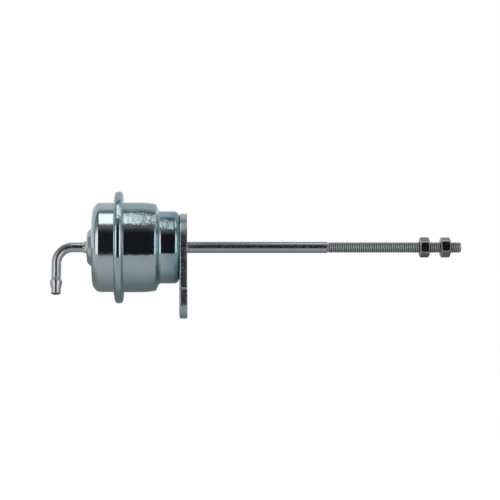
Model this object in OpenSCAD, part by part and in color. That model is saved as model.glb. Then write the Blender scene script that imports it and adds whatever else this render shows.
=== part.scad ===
// Wastegate actuator: a pressed steel diaphragm can with a hose tube, a mounting plate
// and a spring-returned push rod with two adjusting nuts.
// The rod lies along X and points to +X. The plate's front face is at X = 0.

/* [Pressed can] */
// Outside diameter of the front shell
shell_d = 47.6; // [44:0.2:54]
// How much less the rear cover measures across than the front shell
cover_less = 0.2; // [0:0.1:0.8]
// Thickness of the shell and cover sheet
sheet_t = 1.0; // [0.8:0.1:1.2]
// Length of the shell's small step, from the plate to the middle of the shoulder
step_len = 11.4; // [9:0.1:14]
// Length of the front shell, from its shoulder to the middle of the bead
shell_len = 20.5; // [17:0.1:26]
// Depth of the rear cover, from the middle of the bead to its flat
cover_len = 14.2; // [12:0.1:20]
// How far the rolled bead stands out from the front shell
bead_reach = 5.9; // [5:0.1:8]
// Thickness of the rolled bead next to its crest
bead_tip_t = 4.2; // [4:0.1:6]
// Thickness of the rolled bead at its root
bead_root_t = 5.9; // [4.8:0.1:6.6]
// Width of the flat that is left along the bead's crest
bead_flat = 0.3; // [0.2:0.05:1]
// Distance from the cover's fillet out to the edge of the curled flange
lip_gap = 0.7; // [0.5:0.1:1.2]
// Radius of the fillet between the bead and the rear cover
root_fillet = 0.9; // [0.5:0.1:1.2]
// Radius of the fillet between the bead and the front shell
shell_fillet = 0.3; // [0.2:0.1:1.2]
// How much the wall of the front shell draws in before the shoulder
draw_in = 0.8; // [0.3:0.1:1.2]
// Length over which the wall draws in
draw_in_len = 4.1; // [3:0.1:6]
// How far the shoulder slopes forward from the shell's wall to the step
shoulder_slope_w = 1.5; // [0.8:0.1:2.2]
// How far the step lies inside the wall of the front shell
step_in = 4.65; // [4:0.05:6]
// Outside radius of the shoulder corner
shoulder_round = 1.4; // [1:0.1:2]
// Outside radius of the front corner of the step
step_round = 3.0; // [2:0.1:3.5]
// Radius of the fillet where the step leaves the shoulder
step_fillet = 2.0; // [0.5:0.1:2.2]
// Length of the slope that breaks the rear cover's corner, along the can
cover_slope_w = 2.2; // [1.8:0.1:2.8]
// Height of that slope, across the can
cover_slope_h = 3.1; // [2.8:0.1:3.8]
// Outside radius between that slope and the cover's flat
cover_flat_round = 5; // [3:0.1:5.2]
// Outside radius between that slope and the cover's wall
cover_wall_round = 4; // [2:0.1:4.2]

/* [Raised centre of the rear cover] */
// Height of the raised centre over the flat of the cover
boss_h = 2.8; // [1.8:0.1:3.4]
// Radius at the upper edge of the raised centre
boss_top_r = 8.1; // [7.5:0.1:10]
// Width of the slope from the upper edge to the foot
boss_slope_w = 2.2; // [1.6:0.1:3]
// Rounding of the upper edge
boss_top_round = 2.2; // [1.2:0.1:2.4]
// Rounding of the foot
boss_foot_round = 1.2; // [0.8:0.1:1.4]
// How much the raised centre is domed at the tube
boss_dome = 0.4; // [0.1:0.1:0.8]

/* [Hose tube] */
// Outside diameter of the tube
tube_d = 5.2; // [4.6:0.1:6.4]
// Wall of the tube
tube_wall = 0.9; // [0.6:0.05:1.2]
// Radius of the bend at the middle of the tube
bend_r = 8.5; // [6:0.1:10]
// Distance from the raised centre back to the axis of the bent leg
leg_reach = 16.1; // [13:0.1:24]
// Length of the leg, from the rod axis to its mouth
leg_len = 25.5; // [22:0.5:32]
// Angle by which the leg leans forward of straight down
leg_lean = 16; // [0:1:30]
// Height of the hose barb's crest over the tube
barb_rise = 0.65; // [0.4:0.05:1]
// Length from the mouth to the middle of the barb's crest
barb_back = 6.7; // [5.6:0.1:7.5]
// Length of the barb's slope towards the mouth
barb_slope = 3.4; // [2.5:0.1:4]
// Length of the barb's steep side towards the bend
barb_steep = 1.0; // [0.8:0.1:1.5]
// Width of the barb's crest
barb_crest = 0.9; // [0.5:0.1:1.2]
// Rounding of the tube's end
mouth_round = 0.6; // [0.3:0.1:0.8]
// Length of the braze ring that holds the tube in the cover
braze_len = 1.8; // [1.5:0.1:3]
// Thickness of the braze ring round the tube
braze_w = 0.45; // [0.3:0.05:0.9]

/* [Mounting plate] */
// Thickness of the plate
plate_t = 4.0; // [3:0.1:6]
// Radius of the round top of the plate, about the rod axis
lobe_r = 17.8; // [15:0.1:20]
// Distance from the rod axis down to the bolt holes
bolt_drop = 28.5; // [24:0.5:34]
// Distance between the two bolt holes
bolt_spacing = 45; // [40:0.5:52]
// Diameter of the bolt holes
bolt_hole_d = 8.5; // [6.5:0.1:9]
// Radius of the two bottom corners of the plate, about the bolt holes
ear_r = 8.5; // [7:0.1:10]
// Height of each ear over the middle of its bolt hole
ear_top = 7.0; // [6.5:0.1:9]
// Fillet between the round top and each ear
ear_fillet = 1.2; // [0.8:0.1:4]
// Rounding of the top corner of each ear
ear_round = 0.6; // [0.4:0.1:3]
// Diameter of the hole in the plate that holds the rod seal
seal_hole_d = 14.6; // [13:0.1:17]

/* [Rod and nuts] */
// Diameter of the smooth shank
rod_d = 6.0; // [5.6:0.1:7]
// Distance from the plate's front face to the rod's end
rod_front = 146.3; // [120:0.1:175]
// Length of the threaded stretch
thread_len = 71.4; // [40:0.1:85]
// How much less the thread measures across than the shank
thread_less = 0.1; // [0.05:0.05:0.4]
// Depth of the undercut where the thread meets the shank
undercut = 0.3; // [0.1:0.1:0.5]
// Radius of the rounded end of the rod
rod_end_r = 1.4; // [0.8:0.1:2]
// Length of thread that shows past the outer nut
thread_past = 6.0; // [3:0.5:12]
// Gap between the two nuts, which takes the lever
nut_gap = 6.0; // [4.5:0.5:12]
// Width of each nut across its flats
nut_flats = 9.8; // [9:0.1:11.5]
// How much the corners of each nut are rounded off, across the nut
corner_cut = 0.3; // [0:0.1:0.6]
// Thickness of each nut
nut_t = 5.2; // [4.5:0.1:6]
// Turn of the outer nut against the inner nut
outer_nut_turn = 9; // [0:1:59]

/* [Piston and diaphragm] */
// Room for the diaphragm's roll, between the piston cup and the shell
roll_w = 5.3; // [4.4:0.1:7]
// Thickness of the piston cup
cup_t = 1.0; // [0.8:0.1:1.2]
// Outside radius of the corner of the piston cup
cup_round = 2; // [1.5:0.1:3]
// Depth of the piston cup
cup_depth = 11; // [9:0.5:13]
// Thickness of the rubber diaphragm
rubber_t = 1.0; // [0.7:0.1:1.1]
// Distance from the bead's middle forward to the crest of the diaphragm's roll
roll_front = 5.2; // [4:0.1:8]
// Thickness of the retainer plate on the pressure side
retainer_t = 1.2; // [1:0.1:1.5]
// Width of the diaphragm's flat that shows round the retainer plate
retainer_rim = 4; // [3:0.5:5]
// Number of air slots in the rim of the retainer plate
air_slots = 4; // [3:1:6]
// Width of each air slot
air_slot_w = 3; // [2:0.5:4]
// Thickness of the backing washer under the rod's shoulder
backing_t = 1.5; // [1:0.1:2]
// Diameter of the backing washer
backing_d = 16; // [12:0.5:19]
// Diameter of the rod's spigot, which passes the piston
spigot_d = 4.5; // [3.8:0.1:5.2]
// Width of the riveted head round the spigot
rivet_rim = 1.5; // [1:0.1:1.8]
// Height of the riveted head
rivet_h = 1.3; // [1:0.1:1.5]

/* [Spring and guide] */
// Wire diameter of the return spring
wire_d = 2.6; // [2:0.1:3]
// Number of turns in the spring, with one closed turn at each end
coil_turns = 7; // [5:0.5:8]
// Radial gap between the spring and the piston cup
spring_play = 0.6; // [0.4:0.1:1.2]
// Thickness of the spring seat
seat_t = 0.8; // [0.6:0.1:1]
// Height of the spring seat's collar
seat_collar_h = 4; // [2.5:0.5:6]
// Radial gap between the spring and the seat's collar
collar_play = 0.5; // [0.3:0.1:1]
// Wall of the guide bush
bush_wall = 2; // [1.5:0.1:2.5]
// Length of the guide bush, back from the front of the shell
bush_len = 7.5; // [6:0.5:12]
// Width of the bush's flange
bush_flange_w = 1.6; // [1.2:0.1:2]
// Thickness of the bush's flange
bush_flange_t = 1.5; // [1:0.1:2]
// Thickness of the bush holder's sheet
holder_t = 0.8; // [0.6:0.1:1]
// Radial gap between the holder's foot and the spring seat that it centres
foot_play = 0.15; // [0.1:0.05:0.3]
// Thickness of the rod seal
seal_t = 2.0; // [1.5:0.1:2.2]
// Radial room round the rod seal in its hole
seal_room = 0.8; // [0.5:0.1:1.2]
// Thickness of the washer that closes in the rod seal
seal_washer_t = 1.0; // [0.6:0.1:1.2]
// Radial gap between that washer and the rod
washer_play = 0.4; // [0.2:0.1:0.8]

/* [Clearances] */
// Radial play between the rod and what it slides in
slide_play = 0.04; // [0.02:0.01:0.08]
// Radial play between a nut and the thread
nut_play = 0.05; // [0.02:0.01:0.1]
// Radial gap of a piece that is pressed, brazed or staked in its seat
seat_gap = 0.04; // [0.02:0.01:0.1]
// Gap between the layers of the rolled seam
seam_gap = 0.03; // [0.02:0.01:0.06]
// Gap round the rubber and at the stop of the piston
soft_gap = 0.3; // [0.2:0.05:0.4]

/* [Hidden] */

// Steps along a round and round a full turn
arc_step = 10;
turn_steps = 96;

zinc = [0.66, 0.71, 0.74];
bright_zinc = [0.74, 0.78, 0.80];
dark_steel = [0.36, 0.36, 0.35];
spring_steel = [0.45, 0.46, 0.48];
bronze = [0.66, 0.50, 0.28];
black_rubber = [0.10, 0.10, 0.10];

// Widths that follow from the shell and from what fits in it
cover_d = shell_d - cover_less;
bead_d = shell_d + 2 * bead_reach;
step_d = shell_d - 2 * step_in;
cup_d = shell_d - 2 * sheet_t - 2 * roll_w;
retainer_d = cup_d - 2 * retainer_rim;
coil_d = cup_d - 2 * cup_t - 2 * spring_play - wire_d;
collar_r = (coil_d - wire_d) / 2 - collar_play - seat_t / 2;
holder_foot_r = collar_r - seat_t / 2 - foot_play;
rivet_d = spigot_d + 2 * rivet_rim;

// Widths that follow from the rod, the tube and the plate's hole
bush_d = rod_d + 2 * bush_wall;
bush_flange_d = bush_d + 2 * bush_flange_w;
thread_d = rod_d - thread_less;
barb_d = tube_d + 2 * barb_rise;
seal_d = seal_hole_d - 2 * seal_room;

// Places along X of what the can is built on
plate_back_x = -plate_t;
shoulder_x = plate_back_x - step_len;
bead_x = shoulder_x - shell_len;
cover_x = bead_x - cover_len;
shell_inside_x = plate_back_x - sheet_t;
cover_inside_x = cover_x + sheet_t;
boss_x = cover_x - boss_h;
leg_x = boss_x - leg_reach;

// Places along X of the pieces that the rod's spigot holds, from the pressure side
retainer_x = cover_inside_x + soft_gap;
disc_x = retainer_x + retainer_t;
cup_x = disc_x + rubber_t;
backing_x = cup_x + cup_t;
rod_shoulder_x = backing_x + backing_t;

// Places along X of the thread and the nuts, back from the rod's end
shank_front = rod_front - thread_len;
outer_nut_x = rod_front - thread_past - nut_t;
inner_nut_x = outer_nut_x - nut_gap - nut_t;

// Plain corner, and how far a straight cut reaches past the face that it cuts
sharp = 0;
past = 1;

// Points of a section or outline are [across, along, round], and the first and last are plain.
function place(point) = [point[0], point[1]];
function heading(from, to) = (place(to) - place(from)) / norm(place(to) - place(from));
function left_of(way) = [-way[1], way[0]];
function swung(v, angle) = [v[0] * cos(angle) - v[1] * sin(angle), v[0] * sin(angle) + v[1] * cos(angle)];
function reversed(list) = [for (i = [len(list) - 1 : -1 : 0]) list[i]];
function turn_at(path, i) =
    let (a = heading(path[i - 1], path[i]), b = heading(path[i], path[i + 1]))
    atan2(a[0] * b[1] - a[1] * b[0], a * b);

// Arc that replaces one corner of a path
function corner_arc(path, i) =
    let (
        way = heading(path[i - 1], path[i]),
        turn = turn_at(path, i),
        radius = path[i][2],
        start = place(path[i]) - way * radius * tan(abs(turn) / 2),
        centre = start + left_of(way) * radius * sign(turn),
        steps = max(2, ceil(abs(turn) / arc_step))
    )
    [for (k = [0 : steps]) centre + swung(start - centre, turn * k / steps)];

// Path with its corners rounded
function rounded(path) =
    let (last = len(path) - 1)
    concat(
        [place(path[0])],
        [for (i = [1 : last - 1]) each path[i][2] > 0 ? corner_arc(path, i) : [place(path[i])]],
        [place(path[last])]
    );

// Path moved sideways by a distance, to its left where that is positive
function beside(path, distance) =
    let (last = len(path) - 1)
    [for (i = [0 : last])
        let (
            before = left_of(heading(path[max(i - 1, 0)], path[max(i, 1)])),
            after = left_of(heading(path[min(i, last - 1)], path[min(i + 1, last)])),
            spot = place(path[i]) + distance * (before + after) / (1 + before * after),
            bent = i > 0 && i < last && path[i][2] > 0
        )
        [spot[0], spot[1], bent ? path[i][2] - distance * sign(turn_at(path, i)) : 0]];

// Closed section of a sheet whose middle follows a path
function sheet(path, thickness) =
    concat(rounded(beside(path, thickness / 2)), reversed(rounded(beside(path, -thickness / 2))));

// Turned or drawn piece: sections are drawn with the radius across and X along
module turned() {
    rotate([0, 90, 0])
        rotate_extrude($fn = turn_steps)
            children();
}

// Flat ring or disc section
module ring(inner_r, outer_r, back_x, front_x) {
    translate([inner_r, back_x])
        square([outer_r - inner_r, front_x - back_x]);
}

// Half the thickness of the rolled bead at a radius
function bead_half(radius) =
    let (
        crest_r = bead_d / 2,
        root_r = shell_d / 2,
        rise = (crest_r - radius) / (crest_r - root_r)
    )
    (bead_tip_t + (bead_root_t - bead_tip_t) * rise) / 2;

// Radius of the bead's crest corners, and radii where the layers of the seam end
bead_round = (bead_tip_t - bead_flat) / 2;
seam_edge_r = bead_d / 2 - bead_round - seam_gap;
lip_edge_r = cover_d / 2 + root_fillet + lip_gap;

// Rear cover: drawn cup with a raised centre and a flange that the front shell is rolled over
module rear_cover() {
    wall_r = (cover_d - sheet_t) / 2;
    flat_x = cover_x + sheet_t / 2;
    flange_x = bead_x + 3 / 2 * sheet_t + seam_gap;
    tube_hole_r = tube_d / 2 + seat_gap;
    section = [
        [tube_hole_r, boss_x - boss_dome + sheet_t / 2, sharp],
        [boss_top_r, boss_x + sheet_t / 2, boss_top_round],
        [boss_top_r + boss_slope_w, flat_x, boss_foot_round],
        [wall_r - cover_slope_h, flat_x, cover_flat_round - sheet_t / 2],
        [wall_r, flat_x + cover_slope_w, cover_wall_round - sheet_t / 2],
        [wall_r, flange_x - bead_half(wall_r), root_fillet + sheet_t / 2],
        [seam_edge_r, flange_x - bead_half(seam_edge_r), sharp]
    ];
    color(zinc)
        turned()
            polygon(sheet(section, sheet_t));
}

// Front shell: stepped drawn cup whose flange is curled over the rear cover's flange
module front_shell() {
    wall_r = (shell_d - sheet_t) / 2;
    step_r = (step_d - sheet_t) / 2;
    end_x = plate_back_x - sheet_t / 2;
    shelf_x = shoulder_x - sheet_t / 2;
    drawn_r = wall_r - draw_in;
    shelf_back_x = shelf_x - shoulder_slope_w / 2;
    shelf_front_x = shelf_x + shoulder_slope_w / 2;
    draw_in_share = 0.7;
    draw_in_round = draw_in_share * draw_in_len / tan(atan(draw_in / draw_in_len) / 2);
    crest_r = (bead_d - sheet_t) / 2;
    lip_x = sheet_t / 2;
    section = [
        [bush_d / 2 + seat_gap, end_x, sharp],
        [step_r, end_x, step_round - sheet_t / 2],
        [step_r, shelf_front_x, step_fillet + sheet_t / 2],
        [drawn_r, shelf_back_x, shoulder_round - sheet_t / 2],
        [wall_r, shelf_back_x - draw_in_len, draw_in_round],
        [wall_r, bead_x + bead_half(wall_r) - lip_x, shell_fillet + sheet_t / 2],
        [crest_r, bead_x + bead_half(crest_r) - lip_x, bead_round - sheet_t / 2],
        [crest_r, bead_x - bead_half(crest_r) + lip_x, bead_round - sheet_t / 2],
        [lip_edge_r, bead_x - bead_half(lip_edge_r) + lip_x, sharp]
    ];
    color(zinc)
        turned()
            polygon(sheet(section, sheet_t));
}

// Bent tube with its barb, cut to the given radius all along where it is the bore
module tube_run(radius, reach) {
    bend_x = bend_r + leg_x;
    translate([bend_x, 0, 0])
        rotate([0, 90, 0])
            cylinder(r = radius, h = boss_x + sheet_t - bend_x + reach, $fn = turn_steps);
    translate([bend_x, 0, -bend_r])
        rotate([90, 0, 0])
            rotate([0, 0, 90])
                rotate_extrude(angle = 90, $fn = turn_steps)
                    translate([bend_r, 0])
                        circle(r = radius, $fn = turn_steps);
    translate([leg_x, 0, -leg_len - reach])
        cylinder(r = radius, h = leg_len - bend_r + reach, $fn = turn_steps);
}

// Hose tube: drawn steel tube, bent once, with a barb rolled up near its mouth
module hose_tube() {
    neck_r = tube_d / 2;
    core_r = neck_r - tube_wall / 2;
    crest_z = barb_back - leg_len;
    mouth_z = mouth_round - leg_len;
    crest_round = barb_crest / 4;
    barb = [
        [core_r, crest_z + barb_crest / 2 + barb_steep, sharp],
        [neck_r, crest_z + barb_crest / 2 + barb_steep, sharp],
        [barb_d / 2, crest_z + barb_crest / 2, crest_round],
        [barb_d / 2, crest_z - barb_crest / 2, crest_round],
        [neck_r, crest_z - barb_slope, barb_slope],
        [neck_r, mouth_z, sharp],
        [core_r, mouth_z, sharp]
    ];
    mouth = [
        [0, mouth_z, sharp],
        [neck_r, mouth_z, sharp],
        [neck_r, -leg_len, mouth_round],
        [0, -leg_len, sharp]
    ];
    color(bright_zinc)
        rotate([-leg_lean, 0, 0])
            difference() {
                union() {
                    difference() {
                        tube_run(neck_r, 0);
                        translate([leg_x, 0, -leg_len - past])
                            cylinder(r = tube_d, h = mouth_round + past);
                    }
                    translate([leg_x, 0, 0])
                        rotate_extrude($fn = turn_steps) {
                            polygon(rounded(barb));
                            polygon(rounded(mouth));
                        }
                }
                tube_run(neck_r - tube_wall, past);
            }
}

// Braze ring: filler metal that closes the joint between the tube and the cover
module braze_ring() {
    inner_r = tube_d / 2 + seat_gap;
    outer_r = tube_d / 2 + braze_w;
    foot_x = boss_x - boss_dome;
    foot_w = braze_w;
    edge_round = 0.8 * (outer_r - inner_r);
    section = [
        [inner_r, foot_x - braze_len, sharp],
        [outer_r, foot_x - braze_len, edge_round],
        [outer_r, foot_x - foot_w, foot_w],
        [outer_r + foot_w, foot_x, sharp],
        [inner_r, foot_x, sharp]
    ];
    color(bright_zinc)
        turned()
            polygon(rounded(section));
}

// Mounting plate: punched from thick strip, round at the top and with an ear at each side below
module mounting_plate() {
    half_w = bolt_spacing / 2 + ear_r;
    ledge_z = ear_top - bolt_drop;
    bottom_z = -bolt_drop - ear_r;
    ear_side = [
        [lobe_r, 0, sharp],
        [lobe_r, ledge_z, ear_fillet],
        [half_w, ledge_z, ear_round],
        [half_w, bottom_z, ear_r],
        [0, bottom_z, sharp]
    ];
    outline = rounded(ear_side);
    mirrored = reversed([for (p = outline) if (p[0] > 0) [-p[0], p[1]]]);
    color(zinc)
        rotate([90, 0, 90])
            translate([0, 0, plate_back_x])
                difference() {
                    union() {
                        cylinder(r = lobe_r, h = plate_t, $fn = turn_steps);
                        linear_extrude(plate_t)
                            polygon(concat(outline, mirrored));
                    }
                    translate([0, 0, -past])
                        cylinder(d = seal_hole_d, h = plate_t + 2 * past, $fn = turn_steps);
                    for (side = [-1, 1])
                        translate([side * bolt_spacing / 2, -bolt_drop, -past])
                            cylinder(d = bolt_hole_d, h = plate_t + 2 * past, $fn = turn_steps);
                }
}

// Diaphragm: moulded rubber, flat on the piston, rolled back along the can's wall and held in the seam
module diaphragm() {
    inner_leg_r = cup_d / 2 + soft_gap + rubber_t / 2;
    outer_leg_r = shell_d / 2 - sheet_t - soft_gap - rubber_t / 2;
    roll_x = bead_x + roll_front - rubber_t / 2;
    disc_mid_x = disc_x + rubber_t / 2;
    rim_mid_x = bead_x + sheet_t / 2;
    roll_round = 0.95 * (outer_leg_r - inner_leg_r) / 2;
    rim_lap = rubber_t / 5;
    rim_r = lip_edge_r;
    rim_back = [for (r = [rim_r, seam_edge_r]) [r, bead_x - bead_half(r) + 2 * sheet_t + 2 * seam_gap]];
    rim_front = [for (r = [seam_edge_r, rim_r]) [r, bead_x + bead_half(r) - sheet_t - seam_gap]];
    section = [
        [spigot_d / 2 + seat_gap, disc_mid_x, sharp],
        [inner_leg_r, disc_mid_x, cup_round - rubber_t / 5 + rubber_t / 2],
        [inner_leg_r, roll_x, roll_round],
        [outer_leg_r, roll_x, roll_round],
        [outer_leg_r, rim_mid_x, rubber_t],
        [rim_r + rim_lap, rim_mid_x, sharp]
    ];
    color(black_rubber)
        union() {
            turned()
                polygon(sheet(section, rubber_t));
            turned()
                polygon(concat(rim_back, rim_front));
        }
}

// Return spring: wound wire with a closed turn at each end, between the cup and the spring seat
module return_spring() {
    wire_sides = 10;
    rings_per_turn = 24;
    end_gap = 0.05;
    back_x = backing_x + wire_d / 2 + end_gap;
    front_x = shell_inside_x - seat_t - wire_d / 2 - end_gap;
    closed_pitch = wire_d + end_gap;
    open_pitch = (front_x - back_x - 2 * closed_pitch) / (coil_turns - 2);
    function wire_x(turn) =
        turn < 1 ? back_x + closed_pitch * turn
        : turn > coil_turns - 1 ? front_x - closed_pitch * (coil_turns - turn)
        : back_x + closed_pitch + open_pitch * (turn - 1);
    rings = coil_turns * rings_per_turn;
    wire_points = [for (i = [0 : rings], k = [0 : wire_sides - 1])
        let (
            turn = i / rings_per_turn,
            side = 360 * (k + 0.5) / wire_sides,
            r = coil_d / 2 + wire_d / 2 * cos(side)
        )
        [wire_x(turn) + wire_d / 2 * sin(side), r * cos(360 * turn), r * sin(360 * turn)]];
    wire_faces = concat(
        [[for (k = [0 : wire_sides - 1]) k]],
        [for (i = [0 : rings - 1], k = [0 : wire_sides - 1])
            let (next = (k + 1) % wire_sides, a = i * wire_sides, b = a + wire_sides)
            [a + k, b + k, b + next, a + next]],
        [[for (k = [wire_sides - 1 : -1 : 0]) rings * wire_sides + k]]
    );
    color(spring_steel)
        polyhedron(points = wire_points, faces = wire_faces, convexity = 10);
}

// Spring seat: pressed ring whose collar centres the spring
module spring_seat() {
    seat_x = shell_inside_x - seat_t / 2;
    section = [
        [collar_r, shell_inside_x - seat_collar_h, sharp],
        [collar_r, seat_x, 5 / 4 * seat_t],
        [(coil_d + wire_d) / 2, seat_x, sharp]
    ];
    color(zinc)
        turned()
            polygon(sheet(section, seat_t));
}

// Guide bush: sintered bronze, flanged inside the can, with the rod sliding in it
module guide_bush() {
    bore_r = rod_d / 2 + slide_play;
    end_round = bush_wall / 4;
    flange_round = bush_flange_t / 5;
    section = [
        [bore_r, plate_back_x - bush_len, sharp],
        [bush_d / 2, plate_back_x - bush_len, end_round],
        [bush_d / 2, shell_inside_x - bush_flange_t, sharp],
        [bush_flange_d / 2, shell_inside_x - bush_flange_t, flange_round],
        [bush_flange_d / 2, shell_inside_x, sharp],
        [bush_d / 2, shell_inside_x, sharp],
        [bush_d / 2, plate_back_x, sharp],
        [bore_r, plate_back_x, sharp]
    ];
    color(bronze)
        turned()
            polygon(rounded(section));
}

// Bush holder: drawn cap, welded by its foot to the shell, that traps the bush's flange
module bush_holder() {
    cap_r = bush_flange_d / 2 + seat_gap + holder_t / 2;
    bend = 5 / 8 * holder_t;
    section = [
        [bush_d / 2 + seat_gap, shell_inside_x - bush_flange_t - holder_t / 2, sharp],
        [cap_r, shell_inside_x - bush_flange_t - holder_t / 2, bend],
        [cap_r, shell_inside_x - holder_t / 2, bend],
        [holder_foot_r, shell_inside_x - holder_t / 2, sharp]
    ];
    color(zinc)
        turned()
            polygon(sheet(section, holder_t));
}

// Rod seal: rubber ring that wipes the rod, in the hole of the plate
module rod_seal() {
    color(black_rubber)
        turned()
            ring(rod_d / 2 + slide_play, seal_d / 2, plate_back_x, plate_back_x + seal_t);
}

// Seal washer: steel ring staked into the plate's hole over the rod seal
module seal_washer() {
    washer_x = plate_back_x + seal_t;
    color(zinc)
        turned()
            ring(rod_d / 2 + washer_play, seal_hole_d / 2 - seat_gap, washer_x, washer_x + seal_washer_t);
}

// Rod: smooth shank, threaded front stretch with a rounded end, and a riveted spigot at the back
module rod() {
    thread_r = thread_d / 2;
    runout = 2 * undercut;
    head_x = retainer_x - rivet_h;
    section = [
        [0, head_x, sharp],
        [rivet_d / 2, head_x, 0.9 * rivet_h],
        [rivet_d / 2, retainer_x, sharp],
        [spigot_d / 2, retainer_x, sharp],
        [spigot_d / 2, rod_shoulder_x, sharp],
        [rod_d / 2, rod_shoulder_x, sharp],
        [rod_d / 2, shank_front - runout, sharp],
        [thread_r - undercut, shank_front, sharp],
        [thread_r, shank_front + runout, sharp],
        [thread_r, rod_front, rod_end_r],
        [0, rod_front, sharp]
    ];
    color(bright_zinc)
        turned()
            polygon(rounded(section));
}

// Piston cup: drawn steel cup behind the diaphragm, which takes the spring
module piston_cup() {
    wall_r = (cup_d - cup_t) / 2;
    base_x = cup_x + cup_t / 2;
    section = [
        [spigot_d / 2 + seat_gap, base_x, sharp],
        [wall_r, base_x, cup_round - cup_t / 2],
        [wall_r, cup_x + cup_depth, sharp]
    ];
    color(zinc)
        turned()
            polygon(sheet(section, cup_t));
}

// Retainer plate: clamps the diaphragm to the cup and lets air past its slots at the stop
module retainer_plate() {
    slot_in_r = boss_top_r - 0.5;
    color(zinc)
        difference() {
            turned()
                ring(spigot_d / 2 + seat_gap, retainer_d / 2, retainer_x, retainer_x + retainer_t);
            for (i = [0 : air_slots - 1])
                rotate([360 * (i + 0.5) / air_slots, 0, 0])
                    translate([retainer_x - past, -air_slot_w / 2, slot_in_r])
                        cube([retainer_t + 2 * past, air_slot_w, retainer_d]);
        }
}

// Backing washer: spreads the load of the rod's shoulder on the cup
module backing_washer() {
    color(dark_steel)
        turned()
            ring(spigot_d / 2 + seat_gap, backing_d / 2, backing_x, backing_x + backing_t);
}

// Hexagon nut with rounded corners and both ends chamfered, from its back face to +X
module nut(back_x, turn) {
    bore_r = thread_d / 2 + nut_play;
    sink = 0.45;
    corner_r = (nut_flats / cos(30) - corner_cut) / 2;
    face_r = 0.94 * nut_flats / 2;
    chamfer = (corner_r - face_r) * tan(30);
    blank = [
        [0, 0, sharp],
        [face_r, 0, sharp],
        [corner_r, chamfer, sharp],
        [corner_r, nut_t - chamfer, sharp],
        [face_r, nut_t, sharp],
        [0, nut_t, sharp]
    ];
    bore = [
        [0, -past, sharp],
        [bore_r + sink + past, -past, sharp],
        [bore_r, sink, sharp],
        [bore_r, nut_t - sink, sharp],
        [bore_r + sink + past, nut_t + past, sharp],
        [0, nut_t + past, sharp]
    ];
    color(dark_steel)
        translate([back_x, 0, 0])
            rotate([turn, 0, 0])
                difference() {
                    intersection() {
                        rotate([0, 90, 0])
                            cylinder(d = nut_flats / cos(30), h = nut_t, $fn = 6);
                        turned()
                            polygon(rounded(blank));
                    }
                    turned()
                        polygon(rounded(bore));
                }
}

module inner_nut() {
    nut(inner_nut_x, 0);
}

module outer_nut() {
    nut(outer_nut_x, outer_nut_turn);
}

rear_cover();
hose_tube();
braze_ring();
front_shell();
mounting_plate();
diaphragm();
return_spring();
spring_seat();
guide_bush();
bush_holder();
rod_seal();
seal_washer();
rod();
piston_cup();
retainer_plate();
backing_washer();
inner_nut();
outer_nut();
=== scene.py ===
import math

import bmesh
import bpy
from mathutils import Matrix, Vector, noise


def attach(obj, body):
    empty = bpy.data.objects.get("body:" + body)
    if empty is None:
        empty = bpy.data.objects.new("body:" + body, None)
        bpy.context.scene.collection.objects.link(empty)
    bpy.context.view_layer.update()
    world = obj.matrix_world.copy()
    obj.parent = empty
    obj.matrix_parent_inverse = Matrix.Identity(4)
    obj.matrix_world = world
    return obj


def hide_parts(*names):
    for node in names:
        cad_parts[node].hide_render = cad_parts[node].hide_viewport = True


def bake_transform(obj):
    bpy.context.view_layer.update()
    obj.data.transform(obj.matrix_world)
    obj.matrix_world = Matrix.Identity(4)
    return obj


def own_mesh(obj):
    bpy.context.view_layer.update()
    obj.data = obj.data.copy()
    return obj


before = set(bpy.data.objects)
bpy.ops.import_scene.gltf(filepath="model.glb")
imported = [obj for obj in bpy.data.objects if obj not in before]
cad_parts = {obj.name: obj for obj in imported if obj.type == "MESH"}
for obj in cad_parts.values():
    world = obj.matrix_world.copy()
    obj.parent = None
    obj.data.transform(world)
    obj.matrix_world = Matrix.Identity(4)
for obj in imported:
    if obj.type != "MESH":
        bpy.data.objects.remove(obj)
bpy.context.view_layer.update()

mm = 0.001

# Studio: a pale floor under a plain soft sky, with three small soft panels close over the can and
# two larger ones higher up. The sky is darker straight in front of the part and brighter at each
# side of that, as a tent round a bright metal part is, and it shows white behind it.


def link(tree, source, target):
    """Joins an output, or sets a plain value, on an input socket."""
    if isinstance(source, bpy.types.NodeSocket):
        tree.links.new(source, target)
    else:
        target.default_value = source


def math_node(tree, operation, a, b=None):
    """Result of one operation on sockets or plain values."""
    node = tree.nodes.new("ShaderNodeMath")
    node.operation = operation
    link(tree, a, node.inputs[0])
    if b is not None:
        link(tree, b, node.inputs[1])
    return node.outputs[0]


def ramp(tree, value, start, end, low=0.0, high=1.0):
    """Value that goes smoothly from low to high as the input goes from start to end."""
    node = tree.nodes.new("ShaderNodeMapRange")
    node.interpolation_type = "SMOOTHSTEP"
    link(tree, value, node.inputs["Value"])
    for name, number in (("From Min", start), ("From Max", end), ("To Min", low), ("To Max", high)):
        node.inputs[name].default_value = number
    return node.outputs["Result"]


def shade_between(tree, factor, a, b, blend="MIX"):
    """Colour a where the factor is 0, and where it is 1, b, or a times b if blend is MULTIPLY."""
    node = tree.nodes.new("ShaderNodeMix")
    node.data_type = "RGBA"
    node.blend_type = blend
    link(tree, factor, node.inputs["Factor"])
    link(tree, a, node.inputs["A"])
    link(tree, b, node.inputs["B"])
    return node.outputs["Result"]


def grey(level, blue=0.0):
    """Plain colour of a level, a little cooler where blue is over 0."""
    return (level * (1 - blue), level, level * (1 + blue), 1)


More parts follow.
